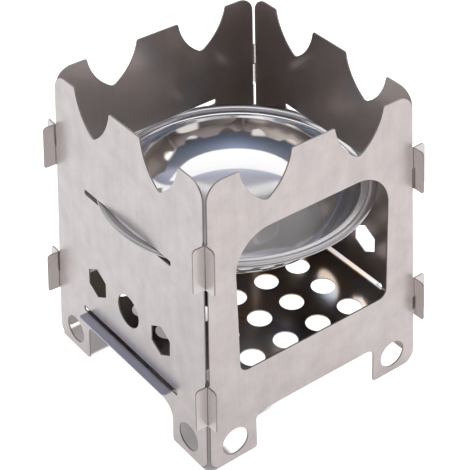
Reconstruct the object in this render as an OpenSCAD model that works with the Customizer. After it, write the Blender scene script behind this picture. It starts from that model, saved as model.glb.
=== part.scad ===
// Flat-pack camping stove: four hooked sheet walls, a fire grate and a fuel bowl.
// Millimetres, +Z up, the origin on the ground in the middle of the stove.
// The front wall, with the fuel door, faces -Y.

/* [Walls] */
// Distance between two neighbouring corner lines at the ground
base_w = 136; // [126:1:160]
// Height of a wall, measured along its sheet
wall_h = 165; // [158:1:185]
// Lean of each wall towards the middle, in degrees
lean = 2.46; // [1.5:0.02:3]
// Thickness of the wall sheets
sheet_t = 0.8; // [0.6:0.1:1.2]
// Gap between the side edge of a wall and the face of its neighbour
edge_gap = 0.65; // [0.6:0.05:1]

/* [Crown] */
// Distance from the middle of a wall to the middle of each scallop
scallop_x = 27.3; // [25:0.1:30]
// Radius of the two arcs that form the flanks of a scallop
scallop_r = 30; // [24:0.5:32]
// Width of a scallop at the top edge
scallop_w = 29.6; // [24:0.2:32]
// Radius at the bottom of a scallop
scallop_tip_r = 3; // [2:0.5:6]
// Depth of a scallop below the top edge
scallop_depth = 21; // [17:0.5:22]
// Radius of the small corners beside the scallops
tooth_r = 1.2; // [0.6:0.1:1.6]
// Radius of the outer top corners
crown_r = 9; // [5:0.5:9.5]

/* [Feet] */
// Half the width of the arch between the two feet
arch_half_w = 38.3; // [34:0.1:40]
// Height of the arch
arch_h = 22; // [18:0.5:24]
// Radius of the upper corners of the arch
arch_r = 4.5; // [2:0.5:8]
// Radius of the upper corner beside the one wide-flared foot of a side wall
arch_flare_r = 10; // [4:0.5:14]
// Radius of the outer bottom corners
foot_r = 7; // [4:0.5:9]
// Radius of the inner bottom corners
foot_inner_r = 2; // [1:0.5:4]
// Radius of the hole in each foot
foot_hole_r = 7.8; // [6:0.1:8.2]
// Distance from the middle of a wall to a foot hole
foot_hole_x = 51.5; // [50:0.1:52]
// Height of the foot holes
foot_hole_z = 11.6; // [10:0.1:13]

/* [Hooks] */
// How far a hook reaches past the corner line
hook_reach = 7; // [5:0.5:9]
// Height of a hook
hook_h = 24; // [20:1:24]
// Height of the lower edge of the lower hooks
hook_low_z = 30.5; // [28:0.5:36]
// Height of the lower edge of the upper hooks
hook_high_z = 110.5; // [100:0.5:112]
// Radius of the outer top corner of a hook
hook_top_r = 2.2; // [1:0.1:4]
// Radius of the outer bottom corner of a hook
hook_low_r = 1.2; // [0.5:0.1:3]
// Gap between a sheet and the outer side of the hook slot it sits in
hook_gap = 0.15; // [0.1:0.05:0.3]
// Gap between the two slot ends that meet when the walls are hooked
seat_gap = 0.1; // [0.05:0.05:0.2]
// How far a hook slot bites into the side edge of its wall
hook_relief = 0.3; // [0.2:0.05:0.5]

/* [Fuel door] */
// Half the width of the fuel door
door_half_w = 46.3; // [42:0.1:50]
// Height of the lower edge of the door
door_low_z = 52.3; // [46:0.1:58]
// Width of the band of steel between the door and the scallops above it
door_band = 14.4; // [11:0.2:20]
// Radius of the upper corners of the door
door_top_r = 20; // [10:1:30]
// Radius of the lower corners of the door
door_low_r = 4.8; // [2:0.2:10]

/* [Air holes] */
// Height of the row of air holes
air_z = 57; // [52:0.5:64]
// Distance from the middle of a side wall to each hexagonal air hole
hex_x = 27.9; // [24:0.1:32]
// Radius of a hexagonal air hole over its corners
hex_r = 8.9; // [6:0.1:10]
// Radius of the round air hole in the middle
round_r = 9.1; // [6:0.1:10]

/* [Fire grate] */
// Height of the underside of the grate
grate_z = 31.4; // [27:0.1:36]
// Thickness of the grate
grate_t = 0.8; // [0.6:0.1:1.2]
// Gap between the edges of the grate and the walls around it
grate_side_gap = 0.5; // [0.4:0.1:1]
// Gap between the front and back edges of the grate and the walls
grate_end_gap = 1.5; // [1:0.1:3]
// Distance between neighbouring holes of the grate
grate_pitch = 21.4; // [19:0.1:24]
// Radius of the holes of the grate
grate_hole_r = 6.5; // [4:0.1:8]
// Half the width of the tabs that pass through the side walls
grate_tab_half_w = 38; // [30:0.5:40]
// How far the tabs stand out of the side walls
grate_tab_reach = 6; // [3:0.5:8]
// Radius of the corners of the tabs
grate_tab_r = 1.8; // [0.5:0.1:3]
// How far each slot for the grate runs past its tab, on each side
grate_slot_play = 3.7; // [1:0.1:5]
// Height of the slots for the grate
grate_slot_h = 3; // [1.8:0.1:4]
// Gap below the grate and below the bowl's rim, where they rest in their slots
rest_gap = 0.1; // [0.05:0.05:0.2]

/* [Fuel bowl] */
// How much larger the radius over the rim is than half the distance of the corner lines
rim_out = 1.9; // [0.5:0.1:3]
// Height of the middle of the edge rolled around the rim
rim_z = 108.4; // [106:0.1:110]
// Half the width of the rolled edge
roll_half_w = 2.3; // [1.8:0.1:2.8]
// Half the height of the rolled edge
roll_half_h = 1.2; // [0.9:0.05:1.3]
// How far the flat rim lies below the middle of the rolled edge
rim_step = 0.5; // [0:0.1:0.6]
// Width of the flat rim with its rolled edge
rim_w = 7.2; // [6.9:0.1:9]
// Radius of the bend between the flat rim and the wall
lip_r = 1.2; // [0.8:0.1:2]
// Radius of curve of the upper wall of the bowl
wall_curve = 34; // [28:1:42]
// Slope of the upper wall below the bend, in degrees
wall_slope = 75; // [70:1:80]
// Radius of curve of the belly of the bowl
belly_curve = 32; // [26:1:38]
// Slope where the belly runs into the upper wall, in degrees
belly_slope = 56; // [50:1:62]
// Radius of curve of the shallow dish around the flat bottom
dish_curve = 154; // [130:1:170]
// Slope where the dish runs into the belly, in degrees
dish_slope = 17; // [14:1:20]
// Radius of curve where the flat bottom runs into the dish
toe_curve = 34; // [26:1:42]
// Slope where that curve ends, in degrees
toe_slope = 11; // [8:1:13]
// Thickness of the sheet of the bowl
bowl_t = 0.6; // [0.5:0.1:0.9]
// Where the bowl sits in the play of its slots: shift to the right
bowl_right = 0.9; // [-1.5:0.1:1.5]
// Where the bowl sits in the play of its slots: shift to the front
bowl_forward = 1.6; // [-1.6:0.1:1.6]
// Half the length of the slots for the rim
rim_slot_half_w = 36.5; // [34:0.1:40]
// Height of the slots for the rim
rim_slot_h = 3; // [2.6:0.1:4]
// Corner radius of all slots
slot_r = 1; // [0.5:0.1:1.2]

/* [Hidden] */
$fn = 96;
// Sideways shift of a corner line for each millimetre up the sheet
drift = sin(lean);
// Half the distance between the corner lines at the ground
corner_w = base_w / 2;
// Radius of the bowl over its rim, and where the flat rim turns down into the wall
rim_r = corner_w + rim_out;
mouth_r = rim_r - rim_w;
// How far the side edge of a wall stays inside the corner line
edge_in = sheet_t / 2 + edge_gap;
// Allowance that makes cuts run past the faces they open
past = 1;
// Overlap that lets a round cross the edge it blends into instead of just touching it
blend = 0.01;
// How far the outline of a foot runs below the ground before it is cut level
sole = 0.1;
// Height where the slots of two hooked walls meet, above the foot of a hook
hook_mid = hook_h / 2;
// Slots of the rim and of the grate, height of their lower edges
rim_slot_z = rim_z - roll_half_h - rest_gap;
grate_slot_z = grate_z - rest_gap;
steel = [0.80, 0.78, 0.77];
dark_steel = [0.36, 0.36, 0.38];
polished = [0.86, 0.87, 0.89];

// Distance up the sheet of a point at height z
function up_sheet(z) = z / cos(lean);
// Distance from the middle of a wall to its corner line, at s up the sheet
function corner_at(s) = corner_w - s * drift;
// Distance from the middle of the stove to the middle plane of a wall, at height z
function wall_at(z) = corner_w - z * tan(lean);

// A rectangle with round corners, w wide and h high, its lower edge at zero
module rounded_slot(w, h, r) {
    translate([-w / 2 + r, 0]) square([w - 2 * r, h]);
    translate([-w / 2, r]) square([w, h - 2 * r]);
    for (x = [-w / 2 + r, w / 2 - r], z = [r, h - r])
        translate([x, z]) circle(r);
}

// The part of a square corner that lies outside its round, for the corner at
// zero with its material towards the minus sides of x and z
module corner_waste(r) {
    difference() {
        translate([-r, -r]) square(r + past);
        translate([-r, -r]) circle(r);
    }
}

// Places what belongs to the right corner line, with zero on that line
module on_corner_line(s) {
    translate([corner_at(s), s]) rotate(atan(drift)) children();
}

// The blank of a wall: leaning side edges, round top and bottom corners
module wall_blank() {
    slant = sqrt(1 + drift * drift);
    low_s = foot_r - sole;
    top_s = wall_h - crown_r;
    // Centres of the rounds, and the points where the side edge runs into them
    low_c = [corner_at(low_s) - edge_in - (foot_r - blend) * slant, low_s];
    top_c = [corner_at(top_s) - edge_in - (crown_r - blend) * slant, top_s];
    low_t = low_c + (foot_r - blend) * [1, drift] / slant;
    top_t = top_c + (crown_r - blend) * [1, drift] / slant;
    for (side = [0, 1]) mirror([side, 0]) {
        polygon([[-past, -sole], [low_c[0], -sole], low_c, low_t, top_t, top_c,
                 [top_c[0], wall_h], [-past, wall_h]]);
        translate(low_c) circle(foot_r);
        translate(top_c) circle(crown_r);
    }
}

// One scallop about the middle line, cut down from the top edge
module scallop() {
    half = scallop_w / 2;
    // Height of the flank centres above the top edge, and their shift from the middle
    reach = scallop_r - scallop_tip_r;
    tip_z = scallop_depth - scallop_tip_r;
    up = flank_up(half, tip_z, reach);
    shift = sqrt(scallop_r * scallop_r - up * up) - half;
    turn = (tip_z + up) / reach * scallop_r - up;
    intersection() {
        translate([-shift, up]) circle(scallop_r);
        translate([shift, up]) circle(scallop_r);
        translate([-scallop_w, -turn]) square([2 * scallop_w, turn + past]);
    }
    translate([0, -tip_z]) circle(scallop_tip_r + blend);
    for (side = [0, 1]) mirror([side, 0]) {
        c = [-shift, up];
        apart = scallop_r + tooth_r - blend;
        round_z = blend - tooth_r;
        round_c = [c[0] + sqrt(apart * apart - pow(up - round_z, 2)), round_z];
        touch = round_c + (c - round_c) * tooth_r / apart;
        difference() {
            polygon([round_c, touch, [half - past, 0], [half - past, past],
                     [round_c[0], past]]);
            translate(round_c) circle(tooth_r);
        }
    }
}

// Height of the flank centres for which flank, width and depth all meet
function flank_up(half, tip_z, reach) =
    flank_search(half, tip_z, reach, 0, scallop_r - half, 40);
function flank_miss(half, tip_z, reach, up) =
    norm([sqrt(scallop_r * scallop_r - up * up) - half, tip_z + up]) - reach;
function flank_search(half, tip_z, reach, lo, hi, steps) =
    steps == 0 ? (lo + hi) / 2 :
    flank_miss(half, tip_z, reach, (lo + hi) / 2) > 0
        ? flank_search(half, tip_z, reach, lo, (lo + hi) / 2, steps - 1)
        : flank_search(half, tip_z, reach, (lo + hi) / 2, hi, steps - 1);

// The arch between the feet, with a radius for the left and one for the right corner
module foot_arch(left_r, right_r) {
    translate([-arch_half_w, -2 * past])
        square([2 * arch_half_w, arch_h + 2 * past - max(left_r, right_r)]);
    translate([-arch_half_w + left_r, 0]) square([2 * arch_half_w - left_r - right_r, arch_h]);
    translate([-arch_half_w, 0]) square([arch_half_w, arch_h - left_r]);
    translate([0, 0]) square([arch_half_w, arch_h - right_r]);
    translate([-arch_half_w + left_r, arch_h - left_r]) circle(left_r);
    translate([arch_half_w - right_r, arch_h - right_r]) circle(right_r);
    for (side = [0, 1]) mirror([side, 0])
        translate([arch_half_w, -sole]) mirror([1, 0]) mirror([0, 1])
            corner_waste(foot_inner_r);
}

// A hook beside the right corner line, z up the line from its lower edge
module hook_plate() {
    inner = -edge_in - past;
    translate([inner, hook_low_r])
        square([hook_reach - inner, hook_h - hook_low_r - hook_top_r]);
    translate([inner, 0]) square([hook_reach - hook_low_r - inner, hook_low_r + past]);
    translate([inner, hook_h - hook_top_r - past])
        square([hook_reach - hook_top_r - inner, hook_top_r + past]);
    translate([hook_reach - hook_low_r, hook_low_r]) circle(hook_low_r);
    translate([hook_reach - hook_top_r, hook_h - hook_top_r]) circle(hook_top_r);
}

// The slot in a hook, from its lower or its upper edge to a little past the middle
module hook_slot(from_top) {
    inner = edge_in + hook_relief;
    z = from_top ? hook_mid - seat_gap / 2 : -past;
    translate([-inner, z])
        square([inner + sheet_t / 2 + hook_gap, hook_mid + seat_gap / 2 + past]);
}

// A wall lying flat: its blank with hooks, less scallops, arch, foot holes and hook slots
module wall_sheet(slots_from_top, left_r, right_r) {
    difference() {
        union() {
            wall_blank();
            for (side = [0, 1], z = [hook_low_z, hook_high_z]) mirror([side, 0])
                on_corner_line(up_sheet(z)) hook_plate();
        }
        for (side = [0, 1], z = [hook_low_z, hook_high_z]) mirror([side, 0])
            on_corner_line(up_sheet(z)) hook_slot(slots_from_top);
        for (x = [-scallop_x, scallop_x]) translate([x, wall_h]) scallop();
        foot_arch(left_r, right_r);
        for (x = [-foot_hole_x, foot_hole_x])
            translate([x, up_sheet(foot_hole_z)]) circle(foot_hole_r);
    }
}

// Raises a flat sheet into a leaning wall on one side and levels its feet
module stand(turn) {
    rotate([0, 0, turn]) difference() {
        translate([0, -corner_w, 0]) rotate([90 - lean, 0, 0])
            linear_extrude(sheet_t, center = true) children();
        translate([-base_w, -base_w, -10]) cube([2 * base_w, 2 * base_w, 10]);
    }
}

// The slot that the rim of the bowl passes through
module rim_slot() {
    translate([0, up_sheet(rim_slot_z)])
        rounded_slot(2 * rim_slot_half_w, rim_slot_h, slot_r);
}

// A side wall lying flat, with its air holes and both slots
module side_sheet() {
    difference() {
        wall_sheet(true, arch_r, arch_flare_r);
        rim_slot();
        translate([0, up_sheet(grate_slot_z)])
            rounded_slot(2 * (grate_tab_half_w + grate_slot_play), grate_slot_h, slot_r);
        translate([0, up_sheet(air_z)]) circle(round_r);
        for (x = [-hex_x, hex_x])
            translate([x, up_sheet(air_z)]) rotate(90) circle(hex_r, $fn = 6);
    }
}

// The wide opening for wood, with large upper and small lower corners
module fuel_door() {
    h = wall_h - scallop_depth - door_band - up_sheet(door_low_z);
    translate([0, up_sheet(door_low_z)]) {
        translate([-door_half_w, door_low_r])
            square([2 * door_half_w, h - door_low_r - door_top_r]);
        translate([-door_half_w + door_low_r, 0])
            square([2 * (door_half_w - door_low_r), h - door_top_r]);
        translate([-door_half_w + door_top_r, h - door_top_r - past])
            square([2 * (door_half_w - door_top_r), door_top_r + past]);
        for (side = [-1, 1]) {
            translate([side * (door_half_w - door_low_r), door_low_r]) circle(door_low_r);
            translate([side * (door_half_w - door_top_r), h - door_top_r]) circle(door_top_r);
        }
    }
}

module front_panel() {
    color(steel) stand(0) difference() {
        wall_sheet(false, arch_r, arch_r);
        fuel_door();
    }
}

module back_panel() {
    color(steel) stand(180) difference() {
        wall_sheet(false, arch_r, arch_r);
        rim_slot();
    }
}

module left_side_panel() {
    color(steel) stand(-90) side_sheet();
}

module right_side_panel() {
    color(steel) stand(90) side_sheet();
}

module fire_grate() {
    inside = wall_at(grate_z + grate_t) - sheet_t / 2;
    half_x = inside - grate_side_gap;
    half_y = inside - grate_end_gap;
    tip = wall_at(grate_z) + sheet_t / 2 + grate_tab_reach;
    color(dark_steel) translate([0, 0, grate_z]) linear_extrude(grate_t) difference() {
        union() {
            square([2 * half_x, 2 * half_y], center = true);
            translate([-tip, -grate_tab_half_w + grate_tab_r])
                square([2 * tip, 2 * (grate_tab_half_w - grate_tab_r)]);
            translate([-tip + grate_tab_r, -grate_tab_half_w])
                square([2 * (tip - grate_tab_r), 2 * grate_tab_half_w]);
            for (x = [-1, 1], y = [-1, 1])
                translate([x * (tip - grate_tab_r), y * (grate_tab_half_w - grate_tab_r)])
                    circle(grate_tab_r);
        }
        for (x = [-2:2], y = [-2:2])
            translate([x * grate_pitch, y * grate_pitch]) circle(grate_hole_r);
    }
}

// Way out and up along a curve that steepens from one slope to another
function climb(curve, from, to) = curve * [sin(to) - sin(from), cos(from) - cos(to)];
// Slope where stretch n of a wall begins, and the way out and up to that place.
// A stretch is its radius of curve, the slope at its end and its number of steps.
function slope_at(s, n) = n == 0 ? 0 : s[n - 1][1];
function way_to(s, n) =
    n == 0 ? [0, 0] : way_to(s, n - 1) + climb(s[n - 1][0], slope_at(s, n - 1), s[n - 1][1]);
// Points of a wall's inner or outer face, side millimetres off its middle line
function wall_points(s, side) = concat([[0, side]],
    [for (n = [0:len(s) - 1], i = [1:s[n][2]])
        let (from = slope_at(s, n), slope = from + (s[n][1] - from) * i / s[n][2])
            way_to(s, n) + climb(s[n][0], from, slope) + side * [-sin(slope), cos(slope)]]);

module fuel_bowl() {
    // The bowl's wall from its flat bottom up. The bend into the rim curves the other way.
    stretches = [[toe_curve, toe_slope, 2], [dish_curve, dish_slope, 3], [belly_curve, belly_slope, 8],
                 [wall_curve, wall_slope, 5], [-lip_r, 0, 6]];
    half = bowl_t / 2;
    foot = [mouth_r, rim_z - rim_step] - way_to(stretches, len(stretches));
    inner = [for (p = wall_points(stretches, half)) foot + p];
    outer = [for (p = wall_points(stretches, -half)) foot + p];
    // The rolled edge is an oval that starts and ends on the faces of the flat rim, with an
    // upright facet at its outermost place
    facet = 18;
    from = 180 + asin((rim_step - half) / roll_half_h);
    to = asin((rim_step + half) / roll_half_h) - 180;
    turns = concat([for (i = [0:9]) from + (facet / 2 - from) * i / 9],
                   [for (i = [0:9]) -facet / 2 + (to + facet / 2) * i / 9]);
    roll = [for (a = turns) [rim_r + roll_half_w * (cos(a) / cos(facet / 2) - 1),
                             rim_z + roll_half_h * sin(a)]];
    color(polished) translate([bowl_right, -bowl_forward, 0]) rotate_extrude($fn = 180)
        polygon(concat([[0, foot[1] + half]], inner, roll, [for (i = [len(outer) - 1:-1:0]) outer[i]],
                       [[0, foot[1] - half]]));
}

front_panel();
back_panel();
left_side_panel();
right_side_panel();
fire_grate();
fuel_bowl();
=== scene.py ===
import math

import bmesh
import bpy
from mathutils import Matrix, Vector


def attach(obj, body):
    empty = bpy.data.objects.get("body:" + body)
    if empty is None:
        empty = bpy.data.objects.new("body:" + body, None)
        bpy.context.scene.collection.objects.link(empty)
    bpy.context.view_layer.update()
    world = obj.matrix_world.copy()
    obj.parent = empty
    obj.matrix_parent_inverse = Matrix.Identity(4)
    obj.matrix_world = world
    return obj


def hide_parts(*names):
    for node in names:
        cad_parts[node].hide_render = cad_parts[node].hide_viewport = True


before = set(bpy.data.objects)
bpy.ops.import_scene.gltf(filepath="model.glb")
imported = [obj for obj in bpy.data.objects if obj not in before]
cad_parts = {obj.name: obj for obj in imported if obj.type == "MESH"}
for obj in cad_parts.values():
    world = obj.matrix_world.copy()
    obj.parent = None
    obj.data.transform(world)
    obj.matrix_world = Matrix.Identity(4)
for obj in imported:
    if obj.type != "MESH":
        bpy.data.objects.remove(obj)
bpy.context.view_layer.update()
scene = bpy.context.scene
scene.view_settings.view_transform = "Standard"

# The view: from above the left front corner, through a long lens, with a hair of roll.
# The lens, the aim and a small shift frame the stove as a 470 by 470 picture.
view_azimuth, view_elevation, view_roll = map(math.radians, (-36.694, 36.851, -0.946))
view_distance, aim_height = 0.7619, 0.0824
picture, focal_pixels, centre_x, centre_y = 470, 1502.12, 233.337, 221.068
film_width, nearest, farthest = 36, 0.01, 50

back = Vector((math.sin(view_azimuth) * math.cos(view_elevation),
               -math.cos(view_azimuth) * math.cos(view_elevation),
               math.sin(view_elevation)))
right = (-back).cross(Vector((0, 0, 1))).normalized()
up = right.cross(-back)
rolled_right = math.cos(view_roll) * right + math.sin(view_roll) * up
rolled_up = -math.sin(view_roll) * right + math.cos(view_roll) * up

lens = bpy.data.cameras.new("camera")
lens.sensor_width = film_width
lens.lens = focal_pixels / picture * film_width
lens.shift_x = (picture / 2 - centre_x) / picture
lens.shift_y = (centre_y - picture / 2) / picture
lens.clip_start, lens.clip_end = nearest, farthest
camera = bpy.data.objects.new("camera", lens)
camera.matrix_world = (Matrix.Translation(Vector((0, 0, aim_height)) + back * view_distance)
                       @ Matrix((rolled_right, rolled_up, back)).transposed().to_4x4())
scene.collection.objects.link(camera)
scene.camera = camera


# The studio: a dark blue room with a bright backdrop behind the stove, a wide softbox with
# a round front above it, and pale panels low down at the sides and on the near side.
class Wire:
    """A value that varies over a surface. Sums and products on it give further ones."""

    def __init__(self, tree, socket=None):
        self.tree, self.socket = tree, socket

    def node(self, kind, settings=None, inputs=None, output=0):
        """Adds a node, sets its settings first, then the values or links of its sockets."""
        made = self.tree.nodes.new(kind)
        for name, value in (settings or {}).items():
            if name == "stops":
                ramp = made.color_ramp
                while len(ramp.elements) < len(value):
                    ramp.elements.new(1)
                for element, (place, colour) in zip(ramp.elements, value):
                    element.position = place
                    element.color = (*colour, 1)
            else:
                setattr(made, name, value)
        for name, value in (inputs or {}).items():
            if isinstance(value, Wire):
                self.tree.links.new(value.socket, made.inputs[name])
            else:
                made.inputs[name].default_value = value
        return Wire(self.tree, made.outputs[output] if made.outputs else None)

    def maths(self, operation, *values):
        return self.node("ShaderNodeMath", {"operation": operation}, dict(enumerate(values)))

    def ramp(self, low, high):
        """Smooth step from 0 at low to 1 at high."""
        return self.node("ShaderNodeMapRange", {"interpolation_type": "SMOOTHSTEP"},
                         {"Value": self, "From Min": low, "From Max": high})

    def __add__(self, other):
        return self.maths("ADD", self, other)

    def __radd__(self, other):
        return self.maths("ADD", other, self)

    def __sub__(self, other):
        return self.maths("SUBTRACT", self, other)

    def __rsub__(self, other):
        return self.maths("SUBTRACT", other, self)

    def __mul__(self, other):
        return self.maths("MULTIPLY", self, other)

    def __rmul__(self, other):
        return self.maths("MULTIPLY", other, self)

    def __truediv__(self, other):
        return self.maths("DIVIDE", self, other)

    def __rtruediv__(self, other):
        return self.maths("DIVIDE", other, self)

    def __neg__(self):
        return self.maths("MULTIPLY", self, -1)


def mix_colours(amount, first, second):
    """A colour between two others: the first where amount is 0, the second where it is 1."""
    first, second = [c if isinstance(c, Wire) else (*c, 1) for c in (first, second)]
    return amount.node("ShaderNodeMix", {"data_type": "RGBA"},
                       {0: amount, 6: first, 7: second}, output=2)


world = bpy.data.worlds.new("studio")
world.use_nodes = True
world.node_tree.nodes.clear()
sky = Wire(world.node_tree)
direction = sky.node("ShaderNodeTexCoord")
far = Vector((-back.x, -back.y, 0)).normalized()
aside, ahead, height = [sky.node("ShaderNodeVectorMath", {"operation": "DOT_PRODUCT"},
                                 {0: direction, 1: tuple(axis)}, output="Value")
                        for axis in (right, far, Vector((0, 0, 1)))]
# Degrees in the upright plane of the view: 0 far horizon, 90 straight up, 180 near horizon
turned = sky.maths("ARCTAN2", height, ahead) * (180 / math.pi)


def ceiling(turned):
    """Blue-grey from the backdrop to the near horizon, brightest beside the softbox."""
    near_horizon = 180
    greys = ((64, (0.48, 0.475, 0.51)), (66, (0.43, 0.44, 0.535)), (70, (0.48, 0.52, 0.68)),
             (78, (0.63, 0.66, 0.79)), (120, (0.36, 0.42, 0.56)), (128, (0.27, 0.33, 0.47)),
             (137, (0.17, 0.21, 0.30)), (145, (0.10, 0.12, 0.165)), (153, (0.09, 0.09, 0.11)),
             (162, (0.15, 0.12, 0.10)), (near_horizon, (0.25, 0.20, 0.17)))
    return turned.node("ShaderNodeValToRGB",
                       {"stops": [(degrees / near_horizon, grey) for degrees, grey in greys]},
                       {0: turned * (1 / near_horizon)})


# The room darkens towards the sides, six times as fast on the near side. Every soft edge
# here and below is a pair: where it starts and where it is full.
night_blue, near_side, near_darkening = (0.035, 0.04, 0.055), (0.1, -0.1), 5
fade = 1 / (aside * aside * (ahead.ramp(*near_side) * near_darkening + 1) + 1)
room = mix_colours(fade, night_blue, ceiling(turned))

# Two panels low on the near side with the dark room between them, a tan one low on the
# left, and one on the near right that is brighter above than below
near_pale, near_top, gap_middle, gap_side = (0.95, 0.90, 0.84), (144, 149), 0.15, (0.37, 0.43)
left_tan, left_side, left_top = (0.95, 0.86, 0.77), (0.66, 0.74), (0.5, 0.4)
right_dim, right_bright, right_split = (0.62, 0.57, 0.54), (1.8, 1.68, 1.56), (0.45, 0.52)
right_side, right_far_side = (0.76, 0.82), (0.05, -0.05)
near_panels = turned.ramp(*near_top) * sky.maths("ABSOLUTE", aside - gap_middle).ramp(*gap_side)
left_panel = (-aside).ramp(*left_side) * height.ramp(*left_top)
right_panel = aside.ramp(*right_side) * ahead.ramp(*right_far_side)
right_colour = mix_colours(height.ramp(*right_split), right_dim, right_bright)
for panel, colour in ((near_panels, near_pale), (left_panel, left_tan),
                      (right_panel, right_colour)):
    room = mix_colours(panel, room, colour)

# The backdrop: white from halfway up to its top, 64 degrees up. Its foot is tan above, and
# below that it is pale, slate, grey, tan and white from left to right.
backdrop_white, backdrop_middle, backdrop_top = (1.25, 1.25, 1.25), (45, 48), (64, 61.5)
foot_grey, foot_tan, tan_above, tan_right = (
    (0.50, 0.48, 0.50), (1.0, 0.80, 0.62), (38.2, 38.6), (0.074, 0.079))
foot_slate, slate_side = (0.20, 0.25, 0.36), (-0.02, -0.03)
foot_pale, pale_side = (0.75, 0.76, 0.80), (-0.15, -0.17)
foot_white, white_side = (1.9, 1.9, 1.9), (0.0855, 0.0885)
bearing = aside / sky.maths("MAXIMUM", ahead, 0.02)
tan_part = sky.maths("MAXIMUM", turned.ramp(*tan_above), bearing.ramp(*tan_right))
foot = mix_colours(tan_part, foot_grey, foot_tan)
for side, colour in ((slate_side, foot_slate), (pale_side, foot_pale), (white_side, foot_white)):
    foot = mix_colours(bearing.ramp(*side), foot, colour)
backdrop = mix_colours(turned.ramp(*backdrop_middle), foot, backdrop_white)
room = mix_colours(turned.ramp(*backdrop_top), room, backdrop)

# The softbox as seen on a ceiling one unit up: an oval front and a bowed back edge
box_white, box_half_width, box_depth, box_start = (1.35, 1.35, 1.35), 0.69, 0.605, 0.02
box_rim, box_back, box_low = (1.03, 0.97), (-0.175, -0.14), (0.1, 0.2)
back_bow, widest_bow = 1.45, 0.16
across, nearer = aside / height, -ahead / height
front = sky.maths("MAXIMUM", nearer - box_start, 0)
oval = (across * across) * (1 / box_half_width ** 2) + (front * front) * (1 / box_depth ** 2)
bowed = sky.maths("MINIMUM", across * across, widest_bow) * back_bow + nearer
softbox = oval.ramp(*box_rim) * bowed.ramp(*box_back) * height.ramp(*box_low)
studio = mix_colours(softbox, room, box_white)

# Seen directly, and not mirrored or as light on the stove, the room is plain white
plain_white = (1, 1, 1, 1)
seen = sky.node("ShaderNodeLightPath", output="Is Camera Ray")
room_light, white_light = [sky.node("ShaderNodeBackground", inputs={"Color": colour})
                           for colour in (studio, plain_white)]
sky.node("ShaderNodeOutputWorld", inputs={"Surface": sky.node(
    "ShaderNodeMixShader", inputs={0: seen, 1: room_light, 2: white_light})})
scene.world = world

# The table: plain matt white, level with the feet. It shows warm before the front wall
# and cool beside the left wall where the steel mirrors it.
table_half_width, table_white, mirrored_glow, seen_glow = 4, (0.80, 0.80, 0.80, 1), 0.58, 0.92
cool_white, warm_white, tint_reach = (0.965, 0.975, 1.0), (1.0, 0.96, 0.94), 0.3
table_mesh = bpy.data.meshes.new("floor")
bm = bmesh.new()
bmesh.ops.create_grid(bm, x_segments=1, y_segments=1, size=table_half_width)
bm.to_mesh(table_mesh)
bm.free()
floor = bpy.data.objects.new("floor", table_mesh)
scene.collection.objects.link(floor)


def bare_material(name):
    """A material with nothing in it yet, and the wire that its nodes start from."""
    material = bpy.data.materials.new(name)
    material.use_nodes = True
    material.node_tree.nodes.clear()
    return material, Wire(material.node_tree)


white, top = bare_material("white_table")
seen, glossy, passing = [
    top.node("ShaderNodeLightPath", output=kind)
    for kind in ("Is Camera Ray", "Is Glossy Ray", "Is Transmission Ray")]
mirrored = top.maths("MAXIMUM", glossy, passing)
place = top.node("ShaderNodeTexCoord", output="Object")
x, y = [top.node("ShaderNodeSeparateXYZ", inputs={0: place}, output=axis) for axis in "XY"]
tint = mix_colours((x - y).ramp(-tint_reach, tint_reach), cool_white, warm_white)

# Painted shade: the table's glow is painted darker below the stove's left half, as if the
# stove shaded it, apart from painted light where light comes in under the left wall's arch and
# the front wall's. A corner line meets the ground 68 mm from the middle, to the side and to the
# front.
corner_line, shade_depth, shade_colour = 0.0680, 0.92, (1.0, 0.92, 0.91)
outer_edge, back_edge = (-corner_line - 0.0010, -corner_line), (0.0665, 0.0640)
right_edge, right_step, step_edge = (-0.008, -0.026), 0.018, (0, 0.012)
left_light, left_light_back, back_slant, left_light_front = (
    (-0.051, -0.055), (0.0625, 0.0640), 1.49, (0.0415, 0.0390))
front_light, front_light_back = (-0.053, -0.050), (-0.050, -0.052)
shade = (x.ramp(*outer_edge) * (x - y.ramp(*step_edge) * right_step).ramp(*right_edge)
         * y.ramp(*outer_edge) * y.ramp(*back_edge))
from_left = (x.ramp(*left_light) * (y - x * back_slant).ramp(*left_light_back)
             * y.ramp(*left_light_front))
from_front = x.ramp(*front_light) * y.ramp(*front_light_back)
shade = shade * (1 - from_left) * (1 - from_front)
# The painted shade's colour, in what the camera sees of the table
seen_colour = mix_colours(shade, plain_white[:3], shade_colour)
glow = top.node("ShaderNodeEmission", inputs={
    "Color": mix_colours(mirrored, seen_colour, tint),
    "Strength": seen * (1 - shade * shade_depth) * seen_glow + mirrored * mirrored_glow})
lit = top.node("ShaderNodeBsdfDiffuse", inputs={"Color": table_white})
top.node("ShaderNodeOutputMaterial",
         inputs={"Surface": top.node("ShaderNodeAddShader", inputs={0: glow, 1: lit})})
table_mesh.materials.append(white)

# The four walls: stamped from stainless sheet 0.8 mm thick and hooked together at the
# corners. The outer face has a fine upright brushed grain, the inner one is smoother, and
# the deburred cut edges are darker and a little rounded.
lean, edge_round = math.radians(2.46), 0.00010
cloud_scale, warmth_scale, wave_scale = 95, 42, 11
grain_depth, wave_depth, warmer_patch = 0.00004, 0.0006, (1.03, 0.985, 0.99)
hook_start = (corner_line - 0.0010, corner_line - 0.0006)
same_point, same_facing, flat_angle, sharp_angle = 1e-6, 0.99, math.radians(0.5), math.radians(40)
# The hook colours are painted light: brighter steel for the hooks, against the shade they cast on
# each other
outside = {"base": (0.53, 0.495, 0.482), "hook_painted_light": (0.615, 0.58, 0.565), "rough": 0.30,
           "haze": 0.40, "grain_bump": 0.20, "waviness": 0.15, "streak": 0.30, "mottle": 1.0}
# The inner face's base is darker and browner than the outer one's: painted shade for the dim inside
# of the stove
inside = {"base": (0.43, 0.385, 0.36), "hook_painted_light": (0.70, 0.66, 0.64), "rough": 0.20,
          "haze": 0.50, "grain_bump": 0.08, "waviness": 0.05, "streak": 0.25, "mottle": 0.35}
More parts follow.
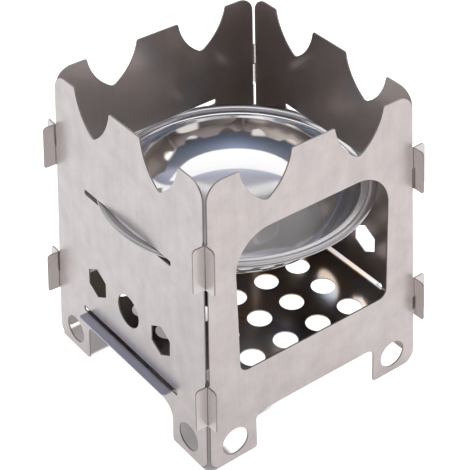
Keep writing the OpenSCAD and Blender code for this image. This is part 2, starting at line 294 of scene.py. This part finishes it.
cut = {"base": (0.30, 0.28, 0.27), "hook_painted_light": (0.30, 0.28, 0.27), "rough": 0.38,
       "haze": 0.48, "grain_bump": 0.5, "waviness": 0.1, "streak": 0.2, "mottle": 0.2}


def brushed_steel(name, grain_axis, base, hook_painted_light, rough, haze, grain_bump, waviness,
                  streak, mottle):
    """Steel with upright streaks that vary along one level axis, and soft cloudy patches.

    rough is the gloss of the clear half of its reflection and haze that of the dull half."""
    material, steel = bare_material(name)
    place = steel.node("ShaderNodeTexCoord", output="Object")

    def streaks(across, along, detail, seed):
        stretch = [along, along, along]
        stretch[grain_axis] = across
        laid = steel.node("ShaderNodeMapping", inputs={
            "Vector": place, "Scale": stretch, "Location": (seed, seed, 0)})
        return steel.node("ShaderNodeTexNoise", inputs={
            "Vector": laid, "Scale": 1.0, "Detail": detail, "Roughness": 0.6}) - 0.5

    fine = streaks(across=2600, along=45, detail=3, seed=1.7)
    broad = streaks(across=700, along=22, detail=2, seed=5.1)
    wide = streaks(across=150, along=26, detail=2, seed=9.4)
    cloud = steel.node("ShaderNodeTexNoise", inputs={
        "Vector": place, "Scale": cloud_scale, "Detail": 3, "Roughness": 0.6}) - 0.5
    warmth = steel.node("ShaderNodeTexNoise", inputs={
        "Vector": place, "Scale": warmth_scale, "Detail": 2}) - 0.5
    # From a fifth darker to a fifth lighter, and a little warmer in patches
    darker, light = [c * 0.8 for c in base], [c * 1.2 for c in base]
    warmer = [c * w for c, w in zip(light, warmer_patch)]
    lighter = mix_colours(warmth * 2.5 + 0.5, light, warmer)
    tone = (fine + broad) * streak + (wide * 0.3 + cloud) * mottle
    colour = mix_colours(tone + 0.5, darker, lighter)
    # The hooks, past the corner lines, are painted brighter steel: painted light that lifts the
    # shade the crossed hooks throw on each other
    sideways, upwards = [steel.node("ShaderNodeSeparateXYZ", inputs={0: place}, output=axis)
                         for axis in ("XYZ"[grain_axis], "Z")]
    past_corner = steel.maths("ABSOLUTE", sideways) + upwards * math.sin(lean)
    colour = mix_colours(past_corner.ramp(*hook_start), colour, hook_painted_light)
    spread = broad * 0.06 + cloud * 0.06
    relief = steel.node("ShaderNodeBump", inputs={
        "Strength": grain_bump, "Distance": grain_depth, "Height": fine + broad * 0.6})
    waves = steel.node("ShaderNodeTexNoise", inputs={
        "Vector": place, "Scale": wave_scale, "Detail": 1})
    relief = steel.node("ShaderNodeBump", inputs={
        "Strength": waviness, "Distance": wave_depth, "Height": waves, "Normal": relief})
    clear, dull = [steel.node("ShaderNodeBsdfPrincipled", inputs={
        "Base Color": colour, "Metallic": 1.0, "Roughness": spread + gloss, "Normal": relief})
                   for gloss in (rough, haze)]
    both = steel.node("ShaderNodeMixShader", inputs={0: 0.5, 1: clear, 2: dull})
    steel.node("ShaderNodeOutputMaterial", inputs={"Surface": both})
    return material


def stamped_sheet(name, node, body, materials, outward, corner):
    """A flat sheet of the stove with rounded cut edges and a finish of its own on them.

    materials are those of the outer face, the inner face and the cut edge."""
    bm = bmesh.new()
    bm.from_mesh(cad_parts[node].data)
    bmesh.ops.remove_doubles(bm, verts=bm.verts, dist=same_point)
    bmesh.ops.dissolve_limit(bm, angle_limit=flat_angle, verts=bm.verts, edges=bm.edges)
    flat = {f for f in bm.faces if abs(f.normal.dot(outward)) > same_facing}
    rims = [e for e in bm.edges if len(set(e.link_faces) & flat) == 1]
    bmesh.ops.bevel(bm, geom=rims, offset=corner, offset_type="OFFSET", affect="EDGES",
                    segments=2, profile=0.5, material=-1, clamp_overlap=False)
    bm.normal_update()
    for face in bm.faces:
        facing = face.normal.dot(outward)
        face.material_index = 0 if facing > same_facing else 1 if facing < -same_facing else 2
        face.smooth = face.material_index == 2
    for edge in bm.edges:
        edge.smooth = edge.calc_face_angle(0) < sharp_angle
    mesh = bpy.data.meshes.new(name)
    bm.to_mesh(mesh)
    bm.free()
    for material in materials:
        mesh.materials.append(material)
    sheet = bpy.data.objects.new(name, mesh)
    scene.collection.objects.link(sheet)
    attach(sheet, body)
    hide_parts(node)


for node, body, away, grain_axis in (
        ("front_panel", "front_wall", (0, -1), 0), ("back_panel", "stove", (0, 1), 0),
        ("left_side_panel", "stove", (-1, 0), 1), ("right_side_panel", "stove", (1, 0), 1)):
    finishes = [brushed_steel(node + side, grain_axis, **finish) for side, finish in (
        ("_outside", outside), ("_inside", inside), ("_cut", cut))]
    outward = Vector((*away, 0)) * math.cos(lean) + Vector((0, 0, math.sin(lean)))
    stamped_sheet(node + "_sheet", node, body, finishes, outward, edge_round)

# The fire grate: a smooth rolled stainless plate with twenty-five air holes. Its two wide
# tabs pass through slots in the side walls and lie on their lower edges.
# The tabs' bluish steel is a painted reflection of the blue-grey room
plate_steel, tab_painted_reflection, plate_edge_round = (0.60, 0.585, 0.57), (0.50, 0.52, 0.62), 0.00015
face_gloss, cut_gloss, tab_dullness = 0.15, 0.35, 0.18
warm_tint, cool_tint, patch_scale = (1.12, 0.92, 0.72), (0.84, 0.95, 1.14), 45
rolling_stretch, rolling_depth = (900, 30, 30), 0.00002
tab_start = (corner_line - 0.0008, corner_line)


def rolled_steel(name, rough):
    """Smooth rolled plate: faint rolling lines and patches of heat tint."""
    material, steel = bare_material(name)
    place = steel.node("ShaderNodeTexCoord", output="Object")
    laid = steel.node("ShaderNodeMapping", inputs={"Vector": place, "Scale": rolling_stretch})
    lines = steel.node("ShaderNodeTexNoise", inputs={"Vector": laid, "Scale": 1.0, "Detail": 2})
    cloud = steel.node("ShaderNodeTexNoise", inputs={
        "Vector": place, "Scale": patch_scale, "Detail": 4})
    warm, cool = [[c * t for c, t in zip(plate_steel, tint)] for tint in (warm_tint, cool_tint)]
    colour = mix_colours((cloud - 0.5) * 3 + 0.5, warm, cool)
    # The tabs outside the walls are painted bluish, a painted reflection of the blue-grey room, and
    # are duller
    sideways = steel.node("ShaderNodeSeparateXYZ", inputs={0: place}, output="X")
    tab = steel.maths("ABSOLUTE", sideways).ramp(*tab_start)
    colour = mix_colours(tab, colour, tab_painted_reflection)
    roughness = rough + tab * tab_dullness + (cloud - 0.5) * 0.08 + (lines - 0.5) * 0.04
    relief = steel.node("ShaderNodeBump", inputs={
        "Strength": 0.15, "Distance": rolling_depth, "Height": lines})
    shader = steel.node("ShaderNodeBsdfPrincipled", inputs={
        "Base Color": colour, "Metallic": 1.0, "Roughness": roughness, "Normal": relief})
    steel.node("ShaderNodeOutputMaterial", inputs={"Surface": shader})
    return material


grate_face, grate_cut = rolled_steel("grate_face", face_gloss), rolled_steel("grate_cut", cut_gloss)
stamped_sheet("fire_grate_plate", "fire_grate", "stove",
              [grate_face, grate_face, grate_cut], Vector((0, 0, 1)), plate_edge_round)

# The fuel bowl: pressed from stainless sheet 0.6 mm thick and polished. It lies loose in
# the walls' slots by a narrow flat rim, whose outer edge is rolled into a flattened curl.
bowl_sheet, bowl_right, bowl_forward = 0.0006, 0.0009, 0.0016
rim_height, rim_step, rim_radius, mouth_radius = 0.1084, 0.0005, 0.0699, 0.0627
roll_half_width, roll_half_height, roll_steps = 0.0023, 0.0012, 40
floor_steps, rim_point_gap, steps_round = 4, 0.0011, 180
# The pressed wall from the flat floor outwards: each stretch has its own radius of curve
# and ends at its own slope in degrees. The bend at the top turns the other way.
stretches = ((0.0340, 11, 6), (0.1540, 17, 10), (0.0320, 56, 30), (0.0340, 75, 14),
             (-0.0012, 0, 14))
wall_line, slope = [Vector((0, 0, 0))], 0
for curve, degrees, steps in stretches:
    corner, steeper = wall_line[-1], math.radians(degrees)
    for i in range(1, steps + 1):
        angle = slope + (steeper - slope) * i / steps
        wall_line.append(corner + curve * Vector((math.sin(angle) - math.sin(slope), 0,
                                                  math.cos(slope) - math.cos(angle))))
    slope = steeper
floor_edge = Vector((mouth_radius, 0, rim_height - rim_step)) - wall_line[-1]
# The curl, along the middle of its sheet: over the top, round the edge and back below
curl_wide, curl_high = roll_half_width - bowl_sheet / 2, roll_half_height - bowl_sheet / 2
curl_start, curl_end = math.pi + math.asin(rim_step / curl_high), math.radians(-150)
curl = [curl_start + (curl_end - curl_start) * i / roll_steps for i in range(roll_steps + 1)]
chain = ([Vector((floor_edge.x * i / floor_steps, 0, floor_edge.z)) for i in range(floor_steps)]
         + [floor_edge + point for point in wall_line]
         + [Vector((mouth_radius + rim_point_gap * i, 0, rim_height - rim_step)) for i in (1, 2)]
         + [Vector((rim_radius - roll_half_width + curl_wide * math.cos(angle), 0,
                    rim_height + curl_high * math.sin(angle))) for angle in curl])
bm = bmesh.new()
line = [bm.verts.new(point) for point in chain]
edges = [bm.edges.new(pair) for pair in zip(line, line[1:])]
bmesh.ops.spin(bm, geom=line + edges, axis=(0, 0, 1), cent=(0, 0, 0), dvec=(0, 0, 0),
               angle=2 * math.pi, steps=steps_round, use_merge=True, use_normal_flip=False)
bmesh.ops.remove_doubles(bm, verts=bm.verts, dist=same_point)
bmesh.ops.recalc_face_normals(bm, faces=bm.faces)
bmesh.ops.translate(bm, verts=bm.verts, vec=(bowl_right, -bowl_forward, 0))
for face in bm.faces:
    face.smooth = True
bowl_mesh = bpy.data.meshes.new("polished_bowl")
bm.to_mesh(bowl_mesh)
bm.free()
bowl = bpy.data.objects.new("polished_bowl", bowl_mesh)
scene.collection.objects.link(bowl)
wall = bowl.modifiers.new("sheet", "SOLIDIFY")
wall.thickness, wall.offset, wall.use_even_offset = bowl_sheet, 0, True

# Its polish is a mirror, with a dull bloom on the floor where the fuel burns, a satin rim,
# and a rolled edge of darker steel.
polish, satin_steel, darker_roll_steel = (0.80, 0.79, 0.79), (0.70, 0.69, 0.71), (0.46, 0.45, 0.45)
mirror_gloss, satin_dullness, bloom_gloss = 0.07, 0.22, 0.52
satin_start, darker_roll_start = (0.0620, 0.0632), (0.0664, 0.0680)
bloom_end, bloom_inside, bloom_loss = (0.030, 0.054), 0.52, 0.44
ring_scale, haze_scale, dent_scale, ring_depth, dent_depth = 2600, 60, 38, 0.00001, 0.00012


def polished_steel(name):
    """Mirror finish with faint turning rings, shallow dents and a little haze."""
    material, steel = bare_material(name)
    place = steel.node("ShaderNodeTexCoord", output="Object")
    centred = steel.node("ShaderNodeMapping", inputs={
        "Vector": place, "Location": (-bowl_right, bowl_forward, 0)})
    level = steel.node("ShaderNodeVectorMath", {"operation": "MULTIPLY"},
                       {0: centred, 1: (1, 1, 0)})
    radius = steel.node("ShaderNodeVectorMath", {"operation": "LENGTH"}, {0: level},
                        output="Value")
    rings = steel.node("ShaderNodeTexNoise", {"noise_dimensions": "1D"},
                       {"W": radius * ring_scale, "Scale": 1.0, "Detail": 3})
    haze = steel.node("ShaderNodeTexNoise", inputs={
        "Vector": place, "Scale": haze_scale, "Detail": 4})
    dents = steel.node("ShaderNodeTexNoise", inputs={
        "Vector": place, "Scale": dent_scale, "Detail": 1})
    colour = mix_colours((haze - 0.5) * 0.6 + 0.5, [c * 0.95 for c in polish],
                         [c * 1.05 for c in polish])
    satin, darker_roll = radius.ramp(*satin_start), radius.ramp(*darker_roll_start)
    colour = mix_colours(darker_roll, mix_colours(satin, colour, satin_steel), darker_roll_steel)
    roughness = mirror_gloss + satin * satin_dullness + (haze - 0.5) * 0.06 + (rings - 0.5) * 0.03
    relief = steel.node("ShaderNodeBump", inputs={
        "Strength": 0.25, "Distance": ring_depth, "Height": rings})
    relief = steel.node("ShaderNodeBump", inputs={
        "Strength": 0.3, "Distance": dent_depth, "Height": dents, "Normal": relief})
    mirror, bloom = [steel.node("ShaderNodeBsdfPrincipled", inputs={
        "Base Color": colour, "Metallic": 1.0, "Roughness": gloss, "Normal": relief})
                     for gloss in (roughness, bloom_gloss)]
    bloom_share = bloom_inside - radius.ramp(*bloom_end) * bloom_loss
    both = steel.node("ShaderNodeMixShader", inputs={0: bloom_share, 1: mirror, 2: bloom})
    steel.node("ShaderNodeOutputMaterial", inputs={"Surface": both})
    return material


bowl_mesh.materials.append(polished_steel("bowl_polish"))
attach(bowl, "bowl")
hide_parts("fuel_bowl")
